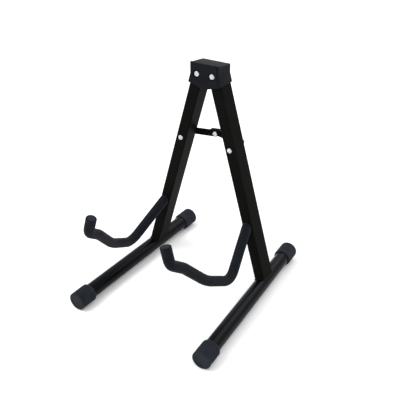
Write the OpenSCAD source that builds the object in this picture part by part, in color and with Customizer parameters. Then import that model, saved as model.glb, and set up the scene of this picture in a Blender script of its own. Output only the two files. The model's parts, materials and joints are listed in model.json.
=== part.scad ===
// Folding A-frame guitar stand. Two rectangular legs hang from a moulded head, each welded to a
// round foot tube, and a two-link brace behind them folds upwards. Padded rods form the cradle.
// X is across the stand, Y runs from the cradle to the back, Z is up, and the floor is at Z = 0.

/* [Stance] */
// Lean of each leg from upright, seen from the front, in degrees
leg_spread = 15.9; // [13:0.1:18]
// Length of a leg from its head bolt to the axis of its foot tube
leg_length = 372; // [330:1:450]
// Half the distance between the two head bolts
bolt_half_gap = 13.7; // [13.5:0.1:17]
// Turn-out of each foot tube, seen from above, in degrees
toe_out = 2.1; // [0:0.1:3]

/* [Leg tube] */
// Width of the leg tube, seen from the front
leg_w = 19; // [16:0.5:20]
// Depth of the leg tube, front to back
leg_d = 32; // [26:0.5:40]
// Wall of the leg tube
leg_wall = 1.5; // [1:0.1:2]
// Outside corner radius of the leg tube
leg_corner = 2.5; // [2.2:0.1:4]
// Height of the leg's top end above its head bolt
leg_top = 7.5; // [6.5:0.5:10]

/* [Foot] */
// Outside diameter of the foot tube
foot_d = 25.4; // [22:0.1:31]
// Wall of the foot tube
foot_wall = 1.5; // [1:0.1:2]
// Reach of the foot in front of the leg's axis, to the cap's end
foot_front = 222.5; // [200:0.5:280]
// Reach of the foot behind the leg's axis, to the cap's end
foot_back = 107; // [90:0.5:140]
// Length of a rubber foot cap
cap_length = 33; // [25:1:45]
// Thickness of the cap's rubber around the tube
cap_wall = 3; // [2:0.1:4]
// Thickness of the cap's closed end
cap_floor = 4; // [3:0.5:6]
// Chamfer on the cap's open end
cap_chamfer = 2; // [1:0.1:2]

/* [Head] */
// Front wall of the head
head_front = 4.2; // [3.6:0.1:6]
// Back wall of the head
head_back = 2.2; // [1.8:0.1:4]
// Side walls of the head
head_side = 1.6; // [1.4:0.1:2.5]
// Top wall of the head, at its back
head_roof = 2.5; // [2:0.1:4]
// Fall of the head's top from front to back
head_fall = 4.2; // [0:0.1:6]
// Height of the front wall's lip above the top
head_lip = 1; // [0.5:0.1:2]
// Length of the head's skirt down each leg, from the head bolt
head_skirt = 18; // [14:0.5:24]
// Diameter of a head bolt
head_bolt_d = 6; // [5:0.5:6]
// Diameter of a head bolt's round head
head_bolt_head_d = 9; // [8.5:0.1:10]
// Thickness of a head bolt's head
head_bolt_head_h = 2.1; // [1.8:0.1:2.4]
// Diameter of the counterbore around a head bolt
counterbore_d = 11; // [10.5:0.1:12]
// Depth of the counterbore
counterbore_depth = 2.6; // [2.2:0.1:3]

/* [Brace] */
// Distance down the leg from the head bolt to the brace bolt
brace_drop = 120.6; // [100:0.1:140]
// Rise of the middle bolt above the line through the brace bolts, when open
brace_rise = 5.5; // [4:0.5:8]
// Height of the front link
link_h = 11; // [10:0.5:13]
// Height of the rear link
rear_link_h = 10; // [9:0.5:12]
// Thickness of each link
link_t = 3; // [2:0.1:4]
// Reach of the front link's tab to either side of the middle bolt
tab_reach = 9; // [7:0.5:12]
// Thickness of the tab
tab_t = 1.5; // [1:0.1:2]
// Diameter of the brace bolts
brace_bolt_d = 5; // [4:0.5:6]
// Diameter of a brace bolt's head
brace_bolt_head_d = 8.4; // [8:0.1:9]
// Thickness of a brace bolt's head
brace_bolt_head_h = 2.6; // [2:0.1:3]

/* [Cradle] */
// Distance up the leg from the foot tube's axis to the cradle rod
cradle_height = 115.5; // [95:0.5:140]
// Slope of the rod where it leaves the leg, in degrees below level
cradle_slope = 34.3; // [28:0.1:38]
// Turn-out of each arm about its leg, in degrees
cradle_turn = 1.2; // [0:0.1:4]
// Diameter of the steel rod
rod_d = 9; // [8:0.5:10]
// Outside diameter of the foam sleeve
foam_d = 17; // [16:0.1:21]
// Straight run from the leg to the low bend
run_root = 80.7; // [65:0.1:98]
// Straight run from the low bend to the easy bend
run_low = 34.7; // [20:0.1:45]
// Straight run that climbs to the crest
run_rise = 46.3; // [35:0.1:60]
// Straight run from the crest to the tip's bend
run_crest = 23.9; // [15:0.1:35]
// Straight run of the upturned tip
run_tip = 20.9; // [15:0.1:40]
// Diameter of the plug in the end of the foam
plug_head_d = 12.5; // [11:0.1:14]
// Thickness of the plug's head
plug_head_h = 1.5; // [1:0.1:2.5]
// Depth of the plug's stem in the foam
plug_stem = 6; // [4:0.5:10]

/* [Fits] */
// Radial clearance of a bolt in a part that turns on it
turning_fit = 0.08; // [0.05:0.01:0.1]
// Radial clearance of a bolt in a part that it clamps
clamped_fit = 0.05; // [0.03:0.01:0.1]
// Gap between faces that slide past each other
slide_gap = 0.3; // [0.2:0.05:0.5]
// Gap between rubber or foam and what is inside it
soft_fit = 0.1; // [0.1:0.01:0.2]
// Gap between the leg's face and the end of the foam
foam_gap = 1; // [0.5:0.1:2]

/* [Hidden] */
$fn = 64;

LEFT = -1;
RIGHT = 1;
nudge = 0.5;                                  // overshoot of a cut past the face it opens
cap_r = foot_d / 2 + soft_fit + cap_wall;
foot_z = cap_r;
foot_x = bolt_half_gap + leg_length * sin(leg_spread);
head_z = foot_z + leg_length * cos(leg_spread);

// Bends of the cradle rod: each step is a straight run, then a bend radius and angle
low_bend = [28.7, 66.2];
easy_bend = [103, 16.9];
crest_bend = [23, -10];
tip_bend = [15.7, 53.8];
bend_step = 9;                                // degrees between stations round a bend
bar_sides = 24;                               // flats round a bent bar
cradle_steps = [
    [run_root, low_bend[0], low_bend[1]],
    [run_low, easy_bend[0], easy_bend[1]],
    [run_rise, crest_bend[0], crest_bend[1]],
    [run_crest, tip_bend[0], tip_bend[1]],
    [run_tip, 0, 0]
];

// Stations along a path of steps, each [forward, up, heading]: one at the end of each straight
// run and one every few degrees round each bend
function stations(steps, heading, at = [0, 0], i = 0) =
    i == len(steps) ? [] :
    let (
        r = steps[i][1],
        turn = steps[i][2],
        side = turn < 0 ? -1 : 1,
        start = at + steps[i][0] * [cos(heading), sin(heading)],
        n = ceil(abs(turn) / bend_step),
        bend = [for (k = [1:1:n])
            let (h = heading + turn * k / n)
            [start[0] + side * r * (sin(h) - sin(heading)),
             start[1] - side * r * (cos(h) - cos(heading)), h]
        ],
        last = n == 0 ? [start[0], start[1], heading] : bend[n - 1]
    )
    concat([[start[0], start[1], heading]], bend,
        stations(steps, last[2], [last[0], last[1]], i + 1));

cradle_path = stations(cradle_steps, -cradle_slope);
tip = cradle_path[len(cradle_path) - 1];
cradle_reach = leg_d / 2
    + cos(cradle_turn) * max([for (s = cradle_path) s[0] + foam_d / 2 * sin(s[2])]);
foot_reach = foot_front * cos(toe_out) + cap_r * sin(toe_out);
front_reach = max(cradle_reach, foot_reach);
back_reach = foot_back * cos(toe_out) + cap_r * sin(toe_out);
leg_y = (front_reach - back_reach) / 2;       // centres the stand front to back on the origin

// Height of the head's inside and of its top above the head bolts: the legs' ends swing inside it
head_inside = leg_top * cos(leg_spread) + leg_w / 2 * sin(leg_spread) + slide_gap;
head_rise = head_inside + head_roof + head_fall + head_lip;

// Depths along Y, measured from the legs' middle plane
leg_face = leg_d / 2;
link_y = leg_face + slide_gap;
link_back = link_y + link_t;
rear_link_y = link_back + slide_gap;
rear_link_back = rear_link_y + link_t;
nut_h = 4;
nut_across = 8;
head_nut_across = 10;
head_nut_h = 5;
slot_w = 1.2;
slot_depth = 1;

// Brace geometry, seen from the front
brace_half = bolt_half_gap + brace_drop * sin(leg_spread);
brace_z = head_z - brace_drop * cos(leg_spread);
link_length = sqrt(brace_half * brace_half + brace_rise * brace_rise);
link_slope = atan(brace_rise / brace_half);

steel_black = [0.07, 0.07, 0.08];
rubber_black = [0.13, 0.14, 0.16];
foam_black = [0.1, 0.11, 0.13];
plastic_black = [0.12, 0.12, 0.14];
zinc = [0.75, 0.76, 0.78];

// ---------- Helpers ----------

// Draws its children on the right of the stand, or mirrored on the left
module on_side(side) {
    if (side == LEFT) mirror([1, 0, 0]) children();
    else children();
}

// Leg frame: origin on the head bolt, Z up the leg, X outwards, Y backwards
module at_leg(side) {
    on_side(side) translate([bolt_half_gap, leg_y, head_z]) rotate([0, -leg_spread, 0]) children();
}

// Foot frame: origin on the foot tube's axis under the leg, Y backwards along the tube
module at_foot(side) {
    on_side(side) translate([foot_x, leg_y, foot_z]) rotate([0, 0, toe_out]) children();
}

// Cradle frame: origin where the rod's axis leaves the leg's face, Y backwards, Z up the leg
module at_cradle(side) {
    at_leg(side) translate([0, -leg_face, cradle_height - leg_length]) {
        rotate([0, 0, cradle_turn]) children();
    }
}

// A cylinder along +Y from y0 to y1
module along_y(r, y0, y1) {
    translate([0, y1, 0]) rotate([90, 0, 0]) cylinder(r = r, h = y1 - y0);
}

// A ring along +Z, solid when its inside radius is 0
module ring(r_out, r_in, h) {
    difference() {
        cylinder(r = r_out, h = h);
        if (r_in > 0) translate([0, 0, -nudge]) cylinder(r = r_in, h = h + 2 * nudge);
    }
}

// Outline of a rectangle with round corners
module rounded_rectangle(w, d, r) {
    square([w - 2 * r, d], center = true);
    square([w, d - 2 * r], center = true);
    for (x = [-1, 1], y = [-1, 1]) translate([x * (w / 2 - r), y * (d / 2 - r)]) circle(r = r);
}

// A ring of points square to the path at a station
function ring_points(station, r) =
    [for (k = [0:bar_sides - 1])
        let (a = 360 * k / bar_sides, c = r * cos(a))
        [r * sin(a), c * sin(station[2]) - station[0], station[1] + c * cos(station[2])]
    ];

// The same ring at the start of the path, cut off on the upright plane at a forward distance
function mitred_points(forward, slope, r) =
    [for (k = [0:bar_sides - 1])
        let (a = 360 * k / bar_sides, c = r * cos(a))
        [r * sin(a), -forward, c / cos(slope) - forward * tan(slope)]
    ];

// A station part way along the straight run that ends at the given station
function short_of(station, d) =
    [station[0] - d * cos(station[2]), station[1] - d * sin(station[2]), station[2]];

// Skin over a list of rings, closed with flat ends, or joined from last to first when looped
module skin(rings, looped = false) {
    n = len(rings);
    sides = len(rings[0]);
    points = [for (ring = rings, p = ring) p];
    walls = [for (i = [0:n - (looped ? 1 : 2)], k = [0:sides - 1])
        let (j = (i + 1) % n, m = (k + 1) % sides)
        [i * sides + k, i * sides + m, j * sides + m, j * sides + k]
    ];
    ends = looped ? [] : [
        [for (k = [sides - 1:-1:0]) k],
        [for (k = [0:sides - 1]) (n - 1) * sides + k]
    ];
    polyhedron(points, concat(walls, ends), convexity = 6);
}

// A slotted bolt along +Y: head in front of y = 0, shank behind it
module slotted_bolt(d, length, head_d, head_h) {
    difference() {
        union() {
            along_y(d / 2, 0, length);
            along_y(head_d / 2, -head_h, 0);
        }
        translate([-head_d, -head_h - nudge, -slot_w / 2]) {
            cube([2 * head_d, slot_depth + nudge, slot_w]);
        }
    }
}

// A hexagon nut along +Y with its front face at y
module hex_nut(across, h, bore_d, y) {
    difference() {
        translate([0, y + h, 0]) rotate([90, 0, 0]) {
            cylinder(d = across / cos(30), h = h, $fn = 6);
        }
        along_y(bore_d / 2 + clamped_fit, y - nudge, y + h + nudge);
    }
}

// ---------- Head ----------

// Half of the head's front outline: its sides follow the open legs, its skirt is square to them
function head_outline(wall, drop) =
    let (
        half = bolt_half_gap + (leg_w / 2 + slide_gap + wall) / cos(leg_spread),
        side = leg_w / 2 + slide_gap + wall,
        foot = [
            bolt_half_gap + side * cos(leg_spread) + drop * sin(leg_spread),
            side * sin(leg_spread) - drop * cos(leg_spread)
        ],
        middle_z = -(drop + bolt_half_gap * sin(leg_spread)) / cos(leg_spread)
    )
    [[half, 0], foot, [0, middle_z]];

// The head's front outline, pushed from y0 to y1
module head_shape(wall, top, drop, y0, y1) {
    p = head_outline(wall, drop);
    outline = [
        [-p[0][0], top], [-p[0][0], 0], [-p[1][0], p[1][1]], p[2],
        p[1], [p[0][0], 0], [p[0][0], top]
    ];
    translate([0, y1, 0]) rotate([90, 0, 0]) linear_extrude(y1 - y0) polygon(outline);
}

// What is cut off behind the front wall's lip, so that the head's top falls to the back
module head_slope(lip_y, back) {
    top = head_rise - head_lip;
    width = 4 * (bolt_half_gap + leg_w);
    translate([-width / 2, 0, 0]) rotate([90, 0, 90]) linear_extrude(width) {
        polygon([[lip_y, top], [back + nudge, top - head_fall], [back + nudge, head_rise + nudge],
            [lip_y, head_rise + nudge]]);
    }
}

module head_cover() {
    front = -leg_face - slide_gap - head_front;
    back = leg_face + slide_gap + head_back;
    color(plastic_black) translate([0, leg_y, head_z]) difference() {
        head_shape(head_side, head_rise, head_skirt, front, back);
        head_shape(0, head_inside, head_skirt + leg_w,
            -leg_face - slide_gap, leg_face + slide_gap);
        head_slope(front + head_front, back);
        for (x = [-bolt_half_gap, bolt_half_gap]) translate([x, 0, 0]) {
            along_y(head_bolt_d / 2 + clamped_fit, front - nudge, back + nudge);
            along_y(counterbore_d / 2, front - nudge, front + counterbore_depth);
        }
    }
}

module head_bolt(side) {
    seat = -leg_face - slide_gap - head_front + counterbore_depth;
    end = leg_face + slide_gap + head_back + head_nut_h + 1;
    color(zinc) on_side(side) translate([bolt_half_gap, leg_y + seat, head_z]) {
        slotted_bolt(head_bolt_d, end - seat, head_bolt_head_d, head_bolt_head_h);
    }
}

module head_nut(side) {
    color(zinc) on_side(side) translate([bolt_half_gap, leg_y, head_z]) {
        hex_nut(head_nut_across, head_nut_h, head_bolt_d, leg_face + slide_gap + head_back);
    }
}

// ---------- Legs and feet ----------

module leg_tube(side) {
    color(steel_black) difference() {
        at_leg(side) difference() {
            translate([0, 0, -leg_length]) linear_extrude(leg_length + leg_top) difference() {
                rounded_rectangle(leg_w, leg_d, leg_corner);
                rounded_rectangle(leg_w - 2 * leg_wall, leg_d - 2 * leg_wall,
                    leg_corner - leg_wall);
            }
            along_y(head_bolt_d / 2 + turning_fit, -leg_d, leg_d);
            translate([0, 0, -brace_drop]) {
                along_y(brace_bolt_d / 2 + clamped_fit, -leg_d, leg_d);
            }
        }
        at_cradle(side) rotate([cradle_slope, 0, 0]) {
            along_y(rod_d / 2 + soft_fit, -leg_d / 2, leg_d / 2);
        }
        at_foot(side) along_y(foot_d / 2, -leg_d, leg_d);
    }
}

module foot_tube(side) {
    color(steel_black) at_foot(side) translate([0, foot_back - cap_floor, 0]) rotate([90, 0, 0]) {
        ring(foot_d / 2, foot_d / 2 - foot_wall, foot_front + foot_back - 2 * cap_floor);
    }
}

// A ribbed rubber cap, closed end at z = 0 and open end at z = cap_length
module foot_cap() {
    bore = foot_d / 2 + soft_fit;
    edge = 1;
    dish_r = cap_r - 3.5;
    dish_depth = 0.8;
    rotate_extrude() polygon([
        [0, dish_depth], [dish_r, dish_depth], [dish_r, 0], [cap_r - edge, 0], [cap_r, edge],
        [cap_r, cap_length - cap_chamfer], [cap_r - cap_chamfer, cap_length],
        [bore, cap_length], [bore, cap_floor], [0, cap_floor]
    ]);
}

module front_cap(side) {
    color(rubber_black) at_foot(side) translate([0, -foot_front, 0]) rotate([-90, 0, 0]) foot_cap();
}

module rear_cap(side) {
    color(rubber_black) at_foot(side) translate([0, foot_back, 0]) rotate([90, 0, 0]) foot_cap();
}

// ---------- Cradle ----------

// The steel rod passes through the leg's front wall and stops on the inside of its back wall
module cradle_rod(side) {
    last = len(cradle_path) - 1;
    color(steel_black) at_cradle(side) skin(concat(
        [mitred_points(leg_wall + rod_d / 2 * sin(cradle_turn) - leg_d, cradle_slope, rod_d / 2)],
        [for (i = [0:last - 1]) ring_points(cradle_path[i], rod_d / 2)],
        [ring_points(short_of(tip, plug_head_h + plug_stem), rod_d / 2)]
    ));
}

// The foam's bore takes the rod, and widens at the tip for the plug's head
module cradle_foam(side) {
    bore = rod_d / 2 + soft_fit;
    wide = plug_head_d / 2 + soft_fit;
    shoulder = short_of(tip, plug_head_h + soft_fit);
    last = len(cradle_path) - 1;
    color(foam_black) at_cradle(side) skin(concat(
        [mitred_points(foam_gap, cradle_slope, foam_d / 2)],
        [for (i = [0:last]) ring_points(cradle_path[i], foam_d / 2)],
        [ring_points(tip, wide), ring_points(shoulder, wide), ring_points(shoulder, bore)],
        [for (i = [last - 1:-1:0]) ring_points(cradle_path[i], bore)],
        [mitred_points(foam_gap, cradle_slope, bore)]
    ), looped = true);
}

// Plug frame: origin at the tip of the foam, Z out of it
module at_plug(side) {
    at_cradle(side) translate([0, -tip[0], tip[1]]) rotate([90 - tip[2], 0, 0]) children();
}

module cradle_plug(side) {
    color(rubber_black) at_plug(side) {
        translate([0, 0, -plug_head_h]) cylinder(d = plug_head_d, h = plug_head_h);
        translate([0, 0, -plug_head_h - plug_stem]) cylinder(d = rod_d, h = plug_stem);
    }
}

// ---------- Brace ----------

module at_brace_bolt(side) {
    at_leg(side) translate([0, 0, -brace_drop]) children();
}

module left_brace_bolt() {
    color(zinc) at_brace_bolt(LEFT) translate([0, -leg_face, 0]) {
        slotted_bolt(brace_bolt_d, leg_face + rear_link_y + nut_h + 1,
            brace_bolt_head_d, brace_bolt_head_h);
    }
}

// The right brace bolt is cut at the back of the leg, where the four-bar fold is opened
module right_brace_bolt() {
    color(zinc) at_brace_bolt(RIGHT) translate([0, -leg_face, 0]) {
        slotted_bolt(brace_bolt_d, leg_d - slide_gap, brace_bolt_head_d, brace_bolt_head_h);
    }
}

module left_brace_nut() {
    color(zinc) at_brace_bolt(LEFT) hex_nut(nut_across, nut_h, brace_bolt_d, rear_link_y);
}

// Link frame: origin on the middle bolt, X outwards along the link on that side
module at_link(side) {
    on_side(side) translate([0, leg_y, brace_z + brace_rise]) rotate([0, link_slope, 0]) children();
}

// A bar with round ends around two bolts, seen from the front, as an outline
module link_outline(length, h) {
    for (x = [0, length]) translate([x, 0]) circle(d = h);
    translate([0, -h / 2]) square([length, h]);
}

// Front link: a flat bar whose top is bent back into a tab over the middle of the brace
module left_brace_link() {
    color(steel_black) at_link(LEFT) difference() {
        union() {
            translate([0, link_back, 0]) rotate([90, 0, 0]) {
                linear_extrude(link_t) link_outline(link_length, link_h);
            }
            translate([-tab_reach, link_y, link_h / 2]) {
                cube([2 * tab_reach, rear_link_back + slide_gap - link_y, tab_t]);
            }
            translate([-tab_reach, link_y, 0]) cube([2 * tab_reach, link_t, link_h / 2]);
        }
        along_y(brace_bolt_d / 2 + turning_fit, 0, 2 * link_back);
        translate([link_length, 0, 0]) {
            along_y(brace_bolt_d / 2 + turning_fit, 0, 2 * link_back);
        }
    }
}

// Rear link: a flat bar behind the front one, which swings down from under the tab in folding
module right_brace_link() {
    color(steel_black) at_link(RIGHT) difference() {
        translate([0, rear_link_back, 0]) rotate([90, 0, 0]) {
            linear_extrude(link_t) link_outline(link_length, rear_link_h);
        }
        for (x = [0, link_length]) translate([x, 0, 0]) {
            along_y(brace_bolt_d / 2 + clamped_fit, 0, 2 * rear_link_back);
        }
    }
}

// Rear half of the right brace bolt, which stays with the rear link
module right_brace_stub() {
    color(zinc) at_link(RIGHT) translate([link_length, 0, 0]) {
        along_y(brace_bolt_d / 2, link_y, rear_link_back + nut_h + 1);
    }
}

// Keeps the rear link behind the front one at the right leg
module right_brace_spacer() {
    color(zinc) at_link(RIGHT) translate([link_length, rear_link_y, 0]) rotate([90, 0, 0]) {
        ring(rear_link_h / 2 - 0.5, brace_bolt_d / 2 + clamped_fit, rear_link_y - link_y);
    }
}

module right_brace_nut() {
    color(zinc) at_link(RIGHT) translate([link_length, 0, 0]) {
        hex_nut(nut_across, nut_h, brace_bolt_d, rear_link_back);
    }
}

module middle_bolt() {
    seat = link_y - slide_gap;
    color(zinc) at_link(RIGHT) translate([0, seat, 0]) {
        slotted_bolt(brace_bolt_d, rear_link_back + nut_h + 1 - seat,
            brace_bolt_head_d, brace_bolt_head_h);
    }
}

module middle_nut() {
    color(zinc) at_link(RIGHT) hex_nut(nut_across, nut_h, brace_bolt_d, rear_link_back);
}

// ---------- Nodes ----------

head_cover();
head_bolt(LEFT);  // left_head_bolt
head_bolt(RIGHT);  // right_head_bolt
head_nut(LEFT);  // left_head_nut
head_nut(RIGHT);  // right_head_nut
leg_tube(LEFT);  // left_leg_tube
leg_tube(RIGHT);  // right_leg_tube
foot_tube(LEFT);  // left_foot_tube
foot_tube(RIGHT);  // right_foot_tube
front_cap(LEFT);  // left_front_cap
front_cap(RIGHT);  // right_front_cap
rear_cap(LEFT);  // left_rear_cap
rear_cap(RIGHT);  // right_rear_cap
cradle_rod(LEFT);  // left_cradle_rod
cradle_rod(RIGHT);  // right_cradle_rod
cradle_foam(LEFT);  // left_cradle_foam
cradle_foam(RIGHT);  // right_cradle_foam
cradle_plug(LEFT);  // left_cradle_plug
cradle_plug(RIGHT);  // right_cradle_plug
left_brace_bolt();
right_brace_bolt();
left_brace_nut();
right_brace_spacer();
left_brace_link();
right_brace_link();
right_brace_stub();
right_brace_nut();
middle_bolt();
middle_nut();
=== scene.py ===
"""Looks of the folding guitar stand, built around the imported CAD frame. Lengths are in metres."""
import json
import math

import bmesh
import bpy
from mathutils import Matrix, Vector


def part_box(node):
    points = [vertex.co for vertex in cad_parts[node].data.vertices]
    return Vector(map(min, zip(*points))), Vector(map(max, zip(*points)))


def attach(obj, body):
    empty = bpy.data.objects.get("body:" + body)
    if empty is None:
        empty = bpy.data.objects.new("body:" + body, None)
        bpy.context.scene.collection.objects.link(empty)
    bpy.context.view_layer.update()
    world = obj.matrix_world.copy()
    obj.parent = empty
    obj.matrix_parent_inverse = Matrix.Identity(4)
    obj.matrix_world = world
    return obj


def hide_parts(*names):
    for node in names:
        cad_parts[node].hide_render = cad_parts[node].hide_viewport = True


MM = 0.001
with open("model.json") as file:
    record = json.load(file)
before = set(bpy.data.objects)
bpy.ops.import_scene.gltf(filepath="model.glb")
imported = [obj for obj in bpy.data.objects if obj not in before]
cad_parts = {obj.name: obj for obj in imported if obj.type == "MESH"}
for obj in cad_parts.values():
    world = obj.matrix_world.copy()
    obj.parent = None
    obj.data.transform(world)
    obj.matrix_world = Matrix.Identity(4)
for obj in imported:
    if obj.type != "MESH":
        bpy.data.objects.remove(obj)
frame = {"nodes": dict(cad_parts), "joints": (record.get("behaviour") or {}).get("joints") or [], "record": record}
NODES = frame["nodes"]
JOINTS = {joint["name"]: Vector(joint["pos_m"]) for joint in frame["joints"]}
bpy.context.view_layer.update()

# ---------- Sizes shared with the CAD model ----------

RIGHT = 1
LEFT = -1
SIDES = {"right": RIGHT, "left": LEFT}
LEG_W = 19 * MM
LEG_D = 32 * MM
LEG_CORNER = 2.5 * MM
FOOT_D = 25.4 * MM
CAP_CHAMFER = 2 * MM
SLIDE_GAP = 0.3 * MM
HEAD_FRONT = 4.2 * MM
HEAD_BACK = 2.2 * MM
HEAD_SIDE = 1.6 * MM
HEAD_ROOF = 2.5 * MM
HEAD_FALL = 4.2 * MM
HEAD_LIP = 1 * MM
LEG_TOP = 7.5 * MM
HEAD_SKIRT = 18 * MM
HEAD_BOLT_R = 3 * MM
HEAD_BOLT_HEAD_H = 2.1 * MM
HEAD_NUT_ACROSS = 10 * MM
BRACE_BOLT_R = 2.5 * MM
BRACE_BOLT_HEAD_H = 2.6 * MM
BRACE_NUT_ACROSS = 8 * MM
CLAMPED_FIT = 0.05 * MM
COUNTERBORE_R = 5.5 * MM
COUNTERBORE_DEPTH = 2.6 * MM
ROD_R = 4.5 * MM
FOAM_R = 8.5 * MM
FOAM_GAP = 1 * MM
SOFT_FIT = 0.1 * MM
PLUG_R = 6.25 * MM
PLUG_H = 1.5 * MM
CRADLE_SLOPE = math.radians(34.3)
CRADLE_TURN = math.radians(1.2)
# Each step of the cradle's path is a straight run, then a bend's radius and its turn in degrees
CRADLE_STEPS = [(80.7, 28.7, 66.2), (34.7, 103, 16.9), (46.3, 23, -10), (23.9, 15.7, 53.8), (20.9, 0, 0)]
CRADLE_HEIGHT = 115.5 * MM

# ---------- Sizes of the looks only ----------

BOLT_SLOT_W = 2 * MM
BOLT_SLOT_DEPTH = 1.6 * MM
THREAD_PITCH = 1 * MM
THREAD_LENGTH = 9 * MM
CUT_PAST = 1 * MM                        # overshoot of a cutter past the face that it opens
STATION_STEP = 2.5 * MM
FOAM_SIDES = 64
FOAM_INSET = 0.05 * MM                   # keeps the fine foam inside the CAD sleeve's box
FOAM_EDGE = 1.6 * MM
CAP_RIBS = 36
CAP_SIDES = CAP_RIBS * 8
RIB_DEPTH = 0.95 * MM
HEAD_CORNER = 3 * MM
HEAD_EDGE = 0.9 * MM
HEAD_FINE_EDGE = 0.3 * MM
SLOPE_WIDTH = 60 * MM
NOTCH = [(18.5 * MM, 1 * MM), (19.6 * MM, -1.6 * MM), (21.6 * MM, 1 * MM)]   # (x, height above the lip)
GROOVE_INSETS = (2.1 * MM, 2.8 * MM)     # from the head's side to either edge of the groove
GROOVE_DEPTH = 0.5 * MM
BEAD_R = 1.5 * MM

# ---------- Places read from the frame ----------

head_bolt = JOINTS["right_leg_fold"]
brace_bolt = JOINTS["left_link_fold"] * Vector((-1, 1, 1))
LEG_Y = head_bolt.y
SPREAD = math.atan2(brace_bolt.x - head_bolt.x, head_bolt.z - brace_bolt.z)
HEAD_INSIDE = LEG_TOP * math.cos(SPREAD) + LEG_W / 2 * math.sin(SPREAD) + SLIDE_GAP
HEAD_RISE = HEAD_INSIDE + HEAD_ROOF + HEAD_FALL + HEAD_LIP


def node_box(node):
    low, high = (Vector(corner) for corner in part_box(node))
    return low, high


def box_middle(node):
    low, high = node_box(node)
    return (low + high) / 2


front_cap_middle = box_middle("right_front_cap")
rear_cap_middle = box_middle("right_rear_cap")
FOOT_AXIS = (rear_cap_middle - front_cap_middle).normalized()
FOOT_Z = front_cap_middle.z
TOE_OUT = math.atan2(-FOOT_AXIS.x, FOOT_AXIS.y)
FOOT_X = front_cap_middle.x + (LEG_Y - front_cap_middle.y) * FOOT_AXIS.x / FOOT_AXIS.y
LEG_LENGTH = (head_bolt.z - FOOT_Z) / math.cos(SPREAD)

LEG_FRAME = Matrix.Translation(head_bolt) @ Matrix.Rotation(-SPREAD, 4, "Y")
FOOT_FRAME = Matrix.Translation((FOOT_X, LEG_Y, FOOT_Z)) @ Matrix.Rotation(TOE_OUT, 4, "Z")
MIRROR_X = Matrix.Scale(-1, 4, (1, 0, 0))
CRADLE_FRAME = (LEG_FRAME @ Matrix.Translation((0, -LEG_D / 2, CRADLE_HEIGHT - LEG_LENGTH))
                @ Matrix.Rotation(CRADLE_TURN, 4, "Z"))
CAP_LENGTH = 33 * MM
CAP_R = FOOT_Z
FOOT_ORIGIN = Vector((FOOT_X, LEG_Y, FOOT_Z))

# ---------- Materials ----------


def new_material(name):
    material = bpy.data.materials.new(name)
    material.use_nodes = True
    nodes = material.node_tree.nodes
    shader = nodes["Principled BSDF"]
    return material, nodes, material.node_tree.links, shader


def noise(nodes, links, coords, scale, detail=2.0, roughness=0.5):
    node = nodes.new("ShaderNodeTexNoise")
    node.inputs["Scale"].default_value = scale
    node.inputs["Detail"].default_value = detail
    node.inputs["Roughness"].default_value = roughness
    links.new(coords, node.inputs["Vector"])
    return node.outputs["Fac"]


def ramp(nodes, links, value, stops):
    node = nodes.new("ShaderNodeValToRGB")
    elements = node.color_ramp.elements
    while len(elements) < len(stops):
        elements.new(0.5)
    for element, (place, colour) in zip(elements, stops):
        element.position = place
        element.color = (*colour, 1)
    links.new(value, node.inputs["Fac"])
    return node.outputs["Color"]


def map_range(nodes, links, value, low, high):
    node = nodes.new("ShaderNodeMapRange")
    node.inputs["To Min"].default_value = low
    node.inputs["To Max"].default_value = high
    links.new(value, node.inputs["Value"])
    return node.outputs["Result"]


def bump(nodes, links, shader, height, strength, distance, under=None):
    node = nodes.new("ShaderNodeBump")
    node.inputs["Strength"].default_value = strength
    node.inputs["Distance"].default_value = distance
    links.new(height, node.inputs["Height"])
    if under is not None:
        links.new(under, node.inputs["Normal"])
    links.new(node.outputs["Normal"], shader.inputs["Normal"])
    return node.outputs["Normal"]


def textured(name, dark, light, scale, rough, bumps, metallic=0.0, specular=0.5, coat=0.0, coat_rough=0.1,
             sheen=0.0):
    """A material whose colour and roughness drift with noise, and whose surface carries layers of bump."""
    material, nodes, links, shader = new_material(name)
    coords = nodes.new("ShaderNodeTexCoord").outputs["Object"]
    drift = noise(nodes, links, coords, scale, 4.0)
    links.new(ramp(nodes, links, drift, [(0.35, dark), (0.65, light)]), shader.inputs["Base Color"])
    links.new(map_range(nodes, links, drift, *rough), shader.inputs["Roughness"])
    shader.inputs["Metallic"].default_value = metallic
    shader.inputs["Specular IOR Level"].default_value = specular
    shader.inputs["Coat Weight"].default_value = coat
    shader.inputs["Coat Roughness"].default_value = coat_rough
    shader.inputs["Sheen Weight"].default_value = sheen
    normal = None
    for bump_scale, strength, distance in bumps:
        height = noise(nodes, links, coords, bump_scale, 3.0)
        normal = bump(nodes, links, shader, height, strength, distance, normal)
    return material


PAINT = textured("leg_paint", (0.0034, 0.0034, 0.0031), (0.0050, 0.0050, 0.0045), 9, (0.40, 0.50),
                 [(900, 0.12, 0.0002)], specular=0.012)
FOOT_PAINT = textured("foot_paint", (0.0012, 0.0014, 0.0026), (0.0022, 0.0026, 0.0044), 12, (0.20, 0.27),
                      [(700, 0.08, 0.0002)], specular=0.07)
PLASTIC = textured("head_plastic", (0.0050, 0.0056, 0.0074), (0.0072, 0.0080, 0.0104), 40, (0.44, 0.58),
                   [(2600, 0.35, 0.0002), (60, 0.1, 0.0006)], specular=0.035)
RUBBER = textured("cap_rubber", (0.0090, 0.0108, 0.0155), (0.0150, 0.0182, 0.0255), 60, (0.55, 0.7),
                  [(1800, 0.3, 0.0002), (120, 0.12, 0.0005)], specular=0.10)
FOAM = textured("foam", (0.0046, 0.0054, 0.0080), (0.0078, 0.0092, 0.0132), 220, (0.50, 0.64),
                [(1500, 0.5, 0.0004), (350, 0.25, 0.0006)], specular=0.035, sheen=0.01)
ZINC = textured("zinc_steel", (0.48, 0.49, 0.51), (0.66, 0.67, 0.69), 180, (0.26, 0.42),
                [(1200, 0.12, 0.0002)], metallic=1.0)
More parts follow.
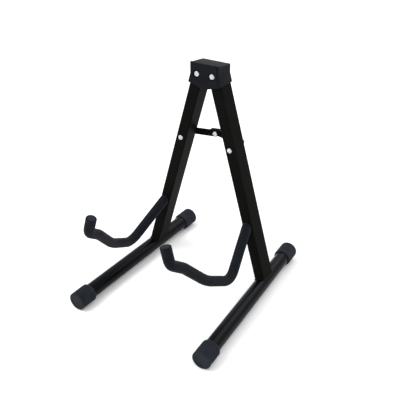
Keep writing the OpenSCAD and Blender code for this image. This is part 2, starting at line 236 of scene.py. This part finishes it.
MATERIALS = {"leg_paint": PAINT, "foot_paint": FOOT_PAINT, "head_plastic": PLASTIC, "cap_rubber": RUBBER,
             "foam": FOAM, "zinc_steel": ZINC}

# ---------- Mesh helpers ----------


def linked(name, data):
    obj = bpy.data.objects.new(name, data)
    bpy.context.scene.collection.objects.link(obj)
    return obj


def piece(name, verts, faces, finish, body, replaced=(), transform=None, side=RIGHT, sharp=35.0):
    """A mesh object with one material that rides on a body. The left one is the right one mirrored."""
    place = transform or Matrix.Identity(4)
    if side == LEFT:
        place = MIRROR_X @ place
    mesh = bpy.data.meshes.new(name)
    mesh.from_pydata([place @ Vector(v) for v in verts], [], faces)
    tidy = bmesh.new()
    tidy.from_mesh(mesh)
    bmesh.ops.remove_doubles(tidy, verts=tidy.verts, dist=1e-7)
    bmesh.ops.recalc_face_normals(tidy, faces=tidy.faces)
    tidy.to_mesh(mesh)
    tidy.free()
    return finish_piece(name, mesh, finish, body, replaced, sharp)


def finish_piece(name, mesh, finish, body, replaced=(), sharp=35.0):
    mesh.materials.clear()
    mesh.materials.append(MATERIALS[finish])
    for polygon in mesh.polygons:
        polygon.use_smooth = True
    mesh.set_sharp_from_angle(angle=math.radians(sharp))
    obj = linked(name, mesh)
    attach(obj, body)
    if replaced:
        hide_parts(*replaced)
    return obj


def ring_faces(rings, sides, looped=False):
    last = rings if looped else rings - 1
    return [(i * sides + k, i * sides + (k + 1) % sides,
             (i + 1) % rings * sides + (k + 1) % sides, (i + 1) % rings * sides + k)
            for i in range(last) for k in range(sides)]


def skin(rings, looped=False):
    """Vertices and faces over a list of rings, with flat ends unless the last joins the first."""
    sides = len(rings[0])
    verts = [point for ring in rings for point in ring]
    faces = ring_faces(len(rings), sides, looped)
    if not looped:
        faces += [tuple(range(sides - 1, -1, -1)), tuple((len(rings) - 1) * sides + k for k in range(sides))]
    return verts, faces


def arc_points(centre, r, start, end, steps):
    """Points [radius, height] on an arc, angles in degrees."""
    angles = [math.radians(start + (end - start) * k / steps) for k in range(steps + 1)]
    return [(centre[0] + r * math.cos(a), centre[1] + r * math.sin(a)) for a in angles]


def lathe(profile, sides, radius_at=None):
    """Rings round Z for a profile of (radius, z); radius_at may vary a ring's radius with its angle."""
    rings = []
    for index, (r, z) in enumerate(profile):
        ring = []
        for k in range(sides):
            angle = 2 * math.pi * k / sides
            rr = radius_at(index, r, z, angle) if radius_at else r
            ring.append((rr * math.cos(angle), rr * math.sin(angle), z))
        rings.append(ring)
    return rings


def temp_object(verts, faces):
    mesh = bpy.data.meshes.new("temp")
    mesh.from_pydata([Vector(v) for v in verts], [], faces)
    tidy = bmesh.new()
    tidy.from_mesh(mesh)
    bmesh.ops.recalc_face_normals(tidy, faces=tidy.faces)
    tidy.to_mesh(mesh)
    tidy.free()
    return linked("temp", mesh)


def applied(obj):
    """The object's mesh with its modifiers applied; the object is removed."""
    bpy.context.view_layer.update()
    evaluated = obj.evaluated_get(bpy.context.evaluated_depsgraph_get())
    mesh = bpy.data.meshes.new_from_object(evaluated)
    bpy.data.objects.remove(obj)
    return mesh


def cut(obj, cutters):
    for cutter in cutters:
        boolean = obj.modifiers.new("cut", "BOOLEAN")
        boolean.operation = "DIFFERENCE"
        boolean.solver = "EXACT"
        boolean.object = cutter
    mesh = applied(obj)
    for cutter in cutters:
        bpy.data.objects.remove(cutter)
    return mesh


def bevelled(mesh, width, segments, angle=30.0):
    obj = linked("temp", mesh)
    bevel = obj.modifiers.new("bevel", "BEVEL")
    bevel.width = width
    bevel.segments = segments
    bevel.limit_method = "ANGLE"
    bevel.angle_limit = math.radians(angle)
    return applied(obj)


# ---------- Foam sleeves ----------


def cradle_stations(step):
    """Fine stations (forward, up, heading, bend) along the cradle's path; bend is +1 inside up-bends."""
    stations = []
    x, z, heading = 0.0, 0.0, -CRADLE_SLOPE
    for run, radius, turn in CRADLE_STEPS:
        run, radius, turn = run * MM, radius * MM, math.radians(turn)
        pieces = max(1, round(run / step))
        for k in range(1, pieces + 1):
            d = run * k / pieces
            stations.append((x + d * math.cos(heading), z + d * math.sin(heading), heading, 0.0))
        x, z = stations[-1][0], stations[-1][1]
        if turn:
            side = math.copysign(1, turn)
            pieces = max(4, round(radius * abs(turn) / step))
            start = (x, z, heading)
            for k in range(1, pieces + 1):
                h = start[2] + turn * k / pieces
                tight = side * math.sin(math.pi * k / pieces) * FOAM_R / radius
                x = start[0] + side * radius * (math.sin(h) - math.sin(start[2]))
                z = start[1] - side * radius * (math.cos(h) - math.cos(start[2]))
                stations.append((x, z, h, tight))
            heading += turn
    return stations


def foam_ring(station, r, along=0.0):
    """A ring round a station. Inside a tight bend the foam is squeezed a little thinner, most on the inner side.
    """
    x, z, heading, tight = station
    x += along * math.cos(heading)
    z += along * math.sin(heading)
    ring = []
    for k in range(FOAM_SIDES):
        a = 2 * math.pi * k / FOAM_SIDES
        c, s = math.cos(a), math.sin(a)
        inside = max(0.0, c * math.copysign(1, tight)) if tight else 0.0
        rr = r * (1 - 0.05 * abs(tight) * inside ** 2 - 0.012 * abs(tight) * (1 - inside))
        ring.append((rr * s, rr * c * math.sin(heading) - x, z + rr * c * math.cos(heading)))
    return ring


def mitred_ring(forward, r):
    ring = []
    for k in range(FOAM_SIDES):
        a = 2 * math.pi * k / FOAM_SIDES
        c = r * math.cos(a)
        ring.append((r * math.sin(a), -forward,
                     c / math.cos(CRADLE_SLOPE) - forward * math.tan(CRADLE_SLOPE)))
    return ring


def make_foam(name, side):
    path = cradle_stations(STATION_STEP)
    tip = path[-1]
    bore = ROD_R + SOFT_FIT
    wide = PLUG_R + SOFT_FIT
    edge = FOAM_EDGE
    root = edge * 1.2
    rings = [mitred_ring(FOAM_GAP, bore), mitred_ring(FOAM_GAP, FOAM_R - root)]
    for r, z in arc_points((FOAM_R - root, root), root, -90, 0, 5)[1:]:
        rings.append(mitred_ring(FOAM_GAP + z, r))
    first = next(i for i, s in enumerate(path) if s[0] > 12 * MM)
    rings += [foam_ring(s, FOAM_R - FOAM_INSET) for s in path[first:-1]
              if s[3] or (tip[0] - s[0]) ** 2 + (tip[1] - s[1]) ** 2 > edge ** 2]
    rings.append(foam_ring(tip, FOAM_R - FOAM_INSET, -edge))
    for r, z in arc_points((FOAM_R - edge, -edge), edge, 0, 90, 6)[1:]:
        rings.append(foam_ring(tip, r, z))
    rings += [foam_ring(tip, wide), foam_ring(tip, wide, -PLUG_H), foam_ring(tip, bore, -PLUG_H)]
    rings.append(foam_ring(tip, bore, -4 * PLUG_H))
    side_name = name.split("_")[0]
    sleeve = piece(name, *skin(rings), "foam", f"{side_name}_leg", [f"{side_name}_cradle_foam"],
                   CRADLE_FRAME, side, 50)
    return sleeve


def make_plug(name, side):
    """Flat head of the plug with a rounded edge and a shallow ring groove, in the end of the foam."""
    tip = cradle_stations(STATION_STEP)[-1]
    r = PLUG_R
    profile = [(r - 0.4 * MM, -PLUG_H)]
    profile += arc_points((r - 0.5 * MM, -0.5 * MM), 0.5 * MM, 0, 90, 4)
    profile += [(r * 0.72, 0), (r * 0.66, -0.35 * MM), (r * 0.5, -0.35 * MM), (r * 0.44, 0), (r * 0.12, 0)]
    verts, faces = skin(lathe(profile, 48))
    frame_at = CRADLE_FRAME @ Matrix.Translation((0, -tip[0], tip[1])) @ Matrix.Rotation(
        math.pi / 2 - tip[2], 4, "X")
    side_name = name.split("_")[0]
    return piece(name, verts, faces, "cap_rubber", f"{side_name}_leg", [f"{side_name}_cradle_plug"],
                 frame_at, side)


# ---------- Foot caps ----------

def make_cap(name, side, at, facing):
    """A ribbed cap: dished end with a rim, ribs along its length, and a plain chamfered collar."""
    bore = FOOT_D / 2 + SOFT_FIT
    rim = 1.8 * MM
    dish = CAP_R - 3.5 * MM
    profile = [(0.4 * MM, 0.8 * MM), (dish - 0.8 * MM, 0.8 * MM), (dish, 0.0)]
    profile += arc_points((CAP_R - rim, rim), rim, -90, 0, 5)
    ribbed_from = len(profile)
    collar = CAP_LENGTH - 4.6 * MM
    profile += [(CAP_R, 2.4 * MM), (CAP_R, 3.4 * MM), (CAP_R, collar - 1.2 * MM), (CAP_R, collar - 0.4 * MM)]
    ribbed_to = len(profile)
    profile += [(CAP_R, collar), (CAP_R, CAP_LENGTH - CAP_CHAMFER - 0.6 * MM)]
    profile += [(CAP_R - 0.25 * MM, CAP_LENGTH - CAP_CHAMFER + 0.2 * MM)]
    profile += [(CAP_R - CAP_CHAMFER + 0.2 * MM, CAP_LENGTH - 0.3 * MM),
                (CAP_R - CAP_CHAMFER - 0.2 * MM, CAP_LENGTH)]
    profile += [(bore + 0.5 * MM, CAP_LENGTH), (bore, CAP_LENGTH - 0.5 * MM), (bore, CAP_LENGTH - 6 * MM)]

    def ribbed(index, r, z, angle):
        if not ribbed_from <= index < ribbed_to:
            return r
        wave = 0.5 + 0.5 * math.cos(CAP_RIBS * angle)
        groove = (1 - wave) ** 2
        end = 0.35 if index in (ribbed_from, ribbed_to - 1) else 1.0
        return r - RIB_DEPTH * groove * end

    verts, faces = skin(lathe(profile, CAP_SIDES, ribbed))
    turn = Matrix.Rotation(-facing * math.pi / 2, 4, "X")
    body = f"{name.split('_')[0]}_leg"
    return piece(name, verts, faces, "cap_rubber", body, [name.replace("_cap_cover", "_cap")],
                 FOOT_FRAME @ Matrix.Translation((0, at, 0)) @ turn, side, 40)


# ---------- Head ----------


def head_outline(wall, top, drop):
    """Front outline: sides follow the open legs, and the skirt's edges are square to them."""
    side = LEG_W / 2 + SLIDE_GAP + wall
    x0 = head_bolt.x
    half = x0 + side / math.cos(SPREAD)
    foot = (x0 + side * math.cos(SPREAD) + drop * math.sin(SPREAD),
            side * math.sin(SPREAD) - drop * math.cos(SPREAD))
    middle = -(drop + x0 * math.sin(SPREAD)) / math.cos(SPREAD)
    right = [(half, top), (half, 0), foot]
    return [(-x, z) for x, z in right] + [(0, middle)] + right[::-1]


def extruded(outline, y0, y1):
    n = len(outline)
    verts = [(x, y0, z) for x, z in outline] + [(x, y1, z) for x, z in outline]
    faces = [tuple(range(n)), tuple(range(2 * n - 1, n - 1, -1))]
    faces += [(k, n + k, n + (k + 1) % n, (k + 1) % n) for k in range(n)]
    return verts, faces


def rod_along_y(x, z, r, y0, y1, sides=48):
    rings = [[(x + r * math.cos(2 * math.pi * k / sides), y, z + r * math.sin(2 * math.pi * k / sides))
              for k in range(sides)] for y in (y0, y1)]
    return skin(rings)


def groove(side, y0, y1):
    """A thin cutter that follows the head's side edge down its front face."""
    near, far = (head_outline(HEAD_SIDE - inset, HEAD_RISE + CUT_PAST, HEAD_SKIRT + CUT_PAST)[4:]
                 for inset in GROOVE_INSETS)
    return temp_object(*extruded([(side * x, z) for x, z in near + far[::-1]], y0, y1))


def make_head():
    """The moulding: rounded sides, a top that falls to the back behind a notched lip, and its cavity."""
    front = -LEG_D / 2 - SLIDE_GAP - HEAD_FRONT
    back = LEG_D / 2 + SLIDE_GAP + HEAD_BACK
    inside = front + HEAD_FRONT
    top = HEAD_RISE - HEAD_LIP
    body = temp_object(*extruded(head_outline(HEAD_SIDE, HEAD_RISE, HEAD_SKIRT), front, back))
    rounded = bmesh.new()
    rounded.from_mesh(body.data)
    sides = [e for e in rounded.edges
             if abs(e.verts[0].co.y - e.verts[1].co.y) < 1e-6
             and abs(e.verts[0].co.z - e.verts[1].co.z) > abs(e.verts[0].co.x - e.verts[1].co.x)]
    bmesh.ops.bevel(rounded, geom=sides, offset=HEAD_CORNER, segments=6, profile=0.5, affect="EDGES")
    rounded.to_mesh(body.data)
    rounded.free()
    past_back, past_top = back + 0.5 * MM, HEAD_RISE + CUT_PAST
    slope = [(inside, top), (past_back, top - HEAD_FALL), (past_back, past_top), (inside, past_top)]
    verts = [(x, y, z) for x in (-SLOPE_WIDTH, SLOPE_WIDTH) for y, z in slope]
    faces = [(0, 1, 2, 3), (7, 6, 5, 4)] + [(k, 4 + k, 4 + (k + 1) % 4, (k + 1) % 4) for k in range(4)]
    cutters = [temp_object(verts, faces)]
    for x in (-1, 1):
        notch = [(x * out, HEAD_RISE + up) for out, up in NOTCH]
        cutters.append(temp_object(*extruded(notch, front - CUT_PAST, inside)))
    mesh = bevelled(cut(body, cutters), HEAD_EDGE, 3, 40)
    body = linked("temp", mesh)
    cutters = [temp_object(*extruded(head_outline(0, HEAD_INSIDE, HEAD_SKIRT + LEG_W), inside, -inside))]
    cutters += [groove(x, front - CUT_PAST, front + GROOVE_DEPTH) for x in (-1, 1)]
    for x in (-head_bolt.x, head_bolt.x):
        for r, y0, y1 in ((COUNTERBORE_R, front - CUT_PAST, front + COUNTERBORE_DEPTH),
                          (HEAD_BOLT_R + CLAMPED_FIT, front, back + CUT_PAST)):
            cutters.append(temp_object(*rod_along_y(x, 0, r, y0, y1)))
    mesh = bevelled(cut(body, cutters), HEAD_FINE_EDGE, 2, 45)
    mesh.transform(Matrix.Translation((0, LEG_Y, head_bolt.z)))
    return finish_piece("head_moulding", mesh, "head_plastic", "head", ["head_cover"], 30)


# ---------- Fasteners ----------


def make_bolt(name, node, body, head=True):
    """A slotted pan-head bolt along +Y in place of a CAD bolt, or a plain threaded stub."""
    low, high = node_box(node)
    x, z = (low.x + high.x) / 2, (low.z + high.z) / 2
    if "head_bolt" in node:
        shank_r, head_h = HEAD_BOLT_R, HEAD_BOLT_HEAD_H
    else:
        shank_r, head_h = BRACE_BOLT_R, BRACE_BOLT_HEAD_H
    head_r = (high.x - low.x) / 2
    length = high.y - low.y
    chamfer = 0.6 * MM
    if head:
        dome = head_h * 0.45
        profile = [(0.02 * MM, 0)]
        profile += [(head_r * math.sin(math.radians(a)) * 0.98, dome * (1 - math.cos(math.radians(a))))
                    for a in (18, 36, 54, 68)]
        profile += [(head_r * 0.965, dome * 0.8), (head_r, dome * 1.1), (head_r, head_h), (shank_r, head_h)]
    else:
        profile = [(0.02 * MM, 0), (shank_r, 0)]
    pitch = THREAD_PITCH
    z_now = length - THREAD_LENGTH
    profile.append((shank_r, z_now))
    while z_now < length - chamfer - pitch / 2:
        profile.append((shank_r, z_now + 0.25 * pitch))
        profile.append((shank_r - 0.35 * MM, z_now + 0.5 * pitch))
        profile.append((shank_r, z_now + 0.75 * pitch))
        z_now += pitch
    profile += [(shank_r - 0.1 * MM, length - chamfer), (shank_r - chamfer, length), (0.02 * MM, length)]
    verts, faces = skin(lathe(profile, 48))
    to_y = Matrix.Translation((x, low.y, z)) @ Matrix.Rotation(-math.pi / 2, 4, "X")
    bolt = temp_object([to_y @ Vector(v) for v in verts], faces)
    cutters = []
    if head:
        half = BOLT_SLOT_W / 2
        verts = [(x + sx * head_r * 1.2, low.y + y, z + sz * half)
                 for y in (-CUT_PAST, BOLT_SLOT_DEPTH) for sx, sz in ((-1, -1), (1, -1), (1, 1), (-1, 1))]
        faces = [(0, 1, 2, 3), (7, 6, 5, 4), (0, 4, 5, 1), (1, 5, 6, 2), (2, 6, 7, 3), (3, 7, 4, 0)]
        cutters = [temp_object(verts, faces)]
    mesh = cut(bolt, cutters)
    return finish_piece(name, mesh, "zinc_steel", body, [node], 30)


def make_nut(name, node, body, across, bore_r):
    """A hexagon nut with turned chamfers in place of a CAD nut."""
    low, high = node_box(node)
    x, z = (low.x + high.x) / 2, (low.z + high.z) / 2
    h = high.y - low.y
    flat = across / 2
    corner = flat / math.cos(math.pi / 6)
    angles = 72
    turn = math.pi / 6 if (high.z - low.z) > (high.x - low.x) else 0.0

    def hexagon(limit):
        def radius(index, r, y, angle):
            part = (angle + turn) % (math.pi / 3) - math.pi / 6
            return min(flat / math.cos(part), limit(y))
        return radius

    steps = [0, 0.12, 0.3, 0.6]
    heights = [s * MM for s in steps] + [h - s * MM for s in reversed(steps)]

    def limit(y):
        edge = min(y, h - y) / (0.6 * MM)
        return flat * 0.97 + (corner - flat * 0.97) * min(1.0, edge)

    rings = lathe([(bore_r + 0.3 * MM, 0)], angles)
    rings += lathe([(flat, y) for y in heights], angles, hexagon(limit))
    rings += lathe([(bore_r + 0.3 * MM, h), (bore_r, h - 0.4 * MM), (bore_r, 0.4 * MM)], angles)
    verts, faces = skin(rings, looped=True)
    to_y = Matrix.Translation((x, low.y, z)) @ Matrix.Rotation(-math.pi / 2, 4, "X")
    return piece(name, verts, faces, "zinc_steel", body, [node], to_y, RIGHT, 25)


# ---------- Weld beads ----------


def rounded_rectangle(w, d, r, steps):
    points = []
    for corner, (sx, sy) in enumerate(((1, 1), (-1, 1), (-1, -1), (1, -1))):
        cx, cy = sx * (w / 2 - r), sy * (d / 2 - r)
        for k in range(steps + 1):
            a = math.pi / 2 * (corner + k / steps)
            points.append(Vector((cx + r * math.cos(a), cy + r * math.sin(a))))
    return points


def resampled(points, spacing):
    """Evenly spaced points round a closed outline."""
    loop = points + [points[0]]
    lengths = [(loop[i + 1] - loop[i]).length for i in range(len(points))]
    total = sum(lengths)
    count = round(total / spacing)
    out, i, gone = [], 0, 0.0
    for k in range(count):
        d = total * k / count
        while gone + lengths[i] < d:
            gone += lengths[i]
            i += 1
        out.append(loop[i].lerp(loop[i + 1], (d - gone) / lengths[i]))
    return out


def make_weld(name, side):
    """A rippled bead round the coped end of the leg, where it sits on the foot tube."""
    outline = resampled(rounded_rectangle(LEG_W, LEG_D, LEG_CORNER, 6), 0.8 * MM)
    to_foot = FOOT_FRAME.inverted()
    centres = []
    for p in outline:
        low, high = -LEG_LENGTH, -LEG_LENGTH + FOOT_D
        for _ in range(30):
            mid = (low + high) / 2
            q = to_foot @ LEG_FRAME @ Vector((p.x, p.y, mid))
            if math.hypot(q.x, q.z) < FOOT_D / 2:
                low = mid
            else:
                high = mid
        centres.append(LEG_FRAME @ Vector((p.x, p.y, high)))
    rings = []
    n = len(centres)
    for i, centre in enumerate(centres):
        tangent = (centres[(i + 1) % n] - centres[i - 1]).normalized()
        up = (centre - (LEG_FRAME @ Vector((0, 0, -LEG_LENGTH)))).normalized()
        out = tangent.cross(up).normalized()
        up = out.cross(tangent).normalized()
        ripple = 1 + 0.10 * math.sin(i * 2 * math.pi / 3)
        rings.append([centre + BEAD_R * ripple * (math.cos(a) * out + math.sin(a) * up)
                      for a in (2 * math.pi * k / 10 for k in range(10))])
    verts, faces = skin(rings, looped=True)
    return piece(name, verts, faces, "foot_paint", f"{name.split('_')[0]}_leg", (), None, side, 80)


# ---------- The model ----------

for slot_row in frame["record"]["subparts"]:
    node = NODES[slot_row["node"]]
    node.data.materials.clear()
    node.data.materials.append(MATERIALS[slot_row["material_slot"]])
    for polygon in node.data.polygons:
        polygon.use_smooth = True

make_head()
for word, side in SIDES.items():
    make_foam(f"{word}_foam_sleeve", side)
    make_plug(f"{word}_tip_plug", side)
    for end, middle, facing in (("front", front_cap_middle, 1), ("rear", rear_cap_middle, -1)):
        reach = (middle - FOOT_ORIGIN).length + CAP_LENGTH / 2
        make_cap(f"{word}_{end}_cap_cover", side, -facing * reach, facing)
    make_weld(f"{word}_weld_bead", side)
    make_bolt(f"{word}_head_screw", f"{word}_head_bolt", "head")
    make_bolt(f"{word}_brace_screw", f"{word}_brace_bolt", f"{word}_leg")
    make_nut(f"{word}_head_hex", f"{word}_head_nut", "head", HEAD_NUT_ACROSS, HEAD_BOLT_R)
make_bolt("middle_screw", "middle_bolt", "right_link")
make_bolt("brace_stub_end", "right_brace_stub", "right_link", head=False)
for word, body in (("left_brace", "left_leg"), ("right_brace", "right_link"), ("middle", "right_link")):
    make_nut(f"{word}_hex", f"{word}_nut", body, BRACE_NUT_ACROSS, BRACE_BOLT_R)

# ---------- Floor, light and camera ----------


def make_floor():
    mesh = bpy.data.meshes.new("floor")
    half = 4.0
    corners = [(-half, -half, 0), (half, -half, 0), (half, half, 0), (-half, half, 0)]
    mesh.from_pydata(corners, [], [(0, 1, 2, 3)])
    material, _, _, shader = new_material("pale_floor")
    shader.inputs["Base Color"].default_value = (0.92, 0.92, 0.92, 1)
    shader.inputs["Roughness"].default_value = 0.9
    shader.inputs["Specular IOR Level"].default_value = 0.1
    mesh.materials.append(material)
    linked("floor", mesh)


def aim(obj, target):
    direction = Vector(target) - obj.location
    obj.rotation_euler = direction.to_track_quat("-Z", "Y").to_euler()


def make_light(name, place, size, power, target=(0, 0, 0.18)):
    data = bpy.data.lights.new(name, "AREA")
    data.shape = "RECTANGLE"
    data.size, data.size_y = size
    data.energy = power
    lamp = linked(name, data)
    lamp.location = place
    aim(lamp, target)


def make_world():
    bpy.context.scene.view_settings.view_transform = "Standard"
    world = bpy.data.worlds.new("studio")
    bpy.context.scene.world = world
    world.use_nodes = True
    background = world.node_tree.nodes["Background"]
    background.inputs["Color"].default_value = (1.0, 1.0, 1.0, 1)
    background.inputs["Strength"].default_value = 1.08


def make_camera():
    place = Vector((0.4682, -0.7013, 0.6820))
    yaw, pitch = math.radians(32.55), math.radians(31.04)
    data = bpy.data.cameras.new("camera")
    data.sensor_width = 36
    data.lens = 54
    camera = linked("camera", data)
    camera.location = place
    camera.rotation_euler = (math.pi / 2 - pitch, 0, yaw)
    bpy.context.scene.camera = camera


make_floor()
make_world()
make_light("key", (-0.9, -1.0, 1.7), (1.0, 1.0), 22)
make_light("fill", (1.6, -0.6, 1.1), (1.0, 1.4), 4)
make_light("rim", (0.3, 1.4, 1.4), (1.6, 0.8), 10)
make_camera()
